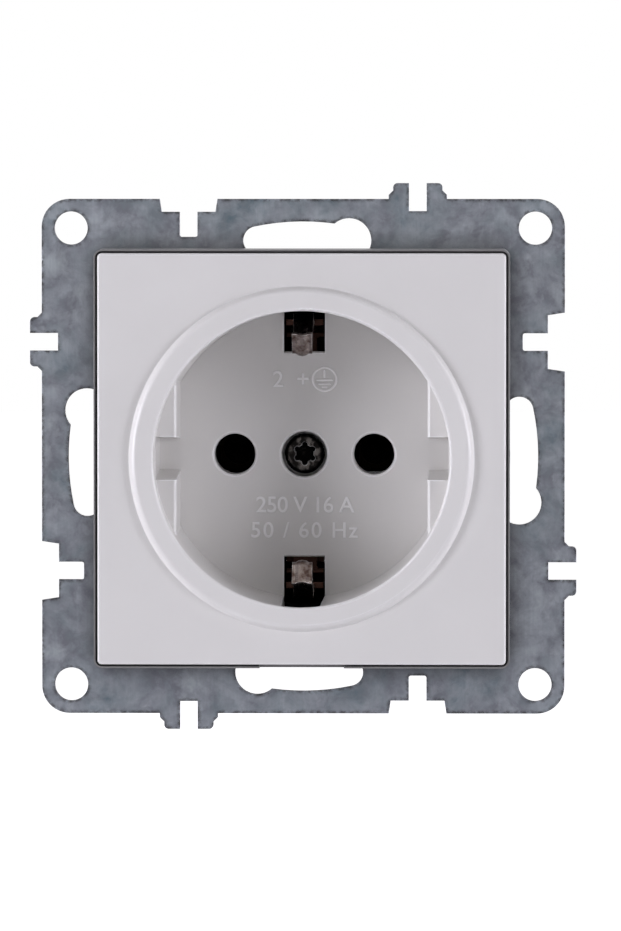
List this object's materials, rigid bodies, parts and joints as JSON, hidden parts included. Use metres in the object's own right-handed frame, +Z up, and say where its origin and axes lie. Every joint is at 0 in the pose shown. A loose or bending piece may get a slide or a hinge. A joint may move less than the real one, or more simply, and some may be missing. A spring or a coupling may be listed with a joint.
{
  "type": "type f wall socket",
  "caption": "Flush wall socket for round two-pin plugs, with a keyed plug well, side earth clips, square moulded cover and steel mounting ring with coupling ears.",
  "frame": {"origin": "centre of the corner fixing holes, in the rear face of the steel ring, which lies on the wall", "axes": "-Y points out of the wall to the front of the socket, +Z is up, +X is to the right as seen from the front"},
  "size_m": [0.0742, 0.041, 0.0742],
  "materials": {
    "cover_plastic": "satin moulded thermoplastic",
    "frame_plastic": "satin moulded thermoplastic",
    "base_plastic": "matte thermoset",
    "insulator_plastic": "matte thermoset",
    "plated_steel": "blue passivated zinc plating",
    "screw_steel": "zinc plated",
    "spring_steel": "bright spring steel",
    "earth_bronze": "tinned bronze, worn",
    "contact_bronze": "rolled bronze"
  },
  "bodies": {
    "root": {"mounting_frame": "plated_steel", "adapter_frame": "frame_plastic", "cover_plate": "cover_plastic", "centre_screw": "screw_steel", "centre_nut": "contact_bronze", "base_cup": "base_plastic", "base_housing": "base_plastic", "insulator_plate": "insulator_plastic", "line_contact_left": "contact_bronze", "line_contact_right": "contact_bronze", "contact_spring_left": "spring_steel", "contact_spring_right": "spring_steel", "clamp_plate_left": "screw_steel", "clamp_plate_right": "screw_steel", "clamp_plate_earth": "screw_steel", "terminal_screw_left": "screw_steel", "terminal_screw_right": "screw_steel", "terminal_screw_earth": "screw_steel", "earth_bracket": "earth_bronze", "earth_terminal_strip": "earth_bronze", "bracket_screw_top": "screw_steel", "bracket_screw_bottom": "screw_steel", "frame_rivet_1": "screw_steel", "frame_rivet_2": "screw_steel", "frame_rivet_3": "screw_steel", "frame_rivet_4": "screw_steel"}
  },
  "joints": []
}
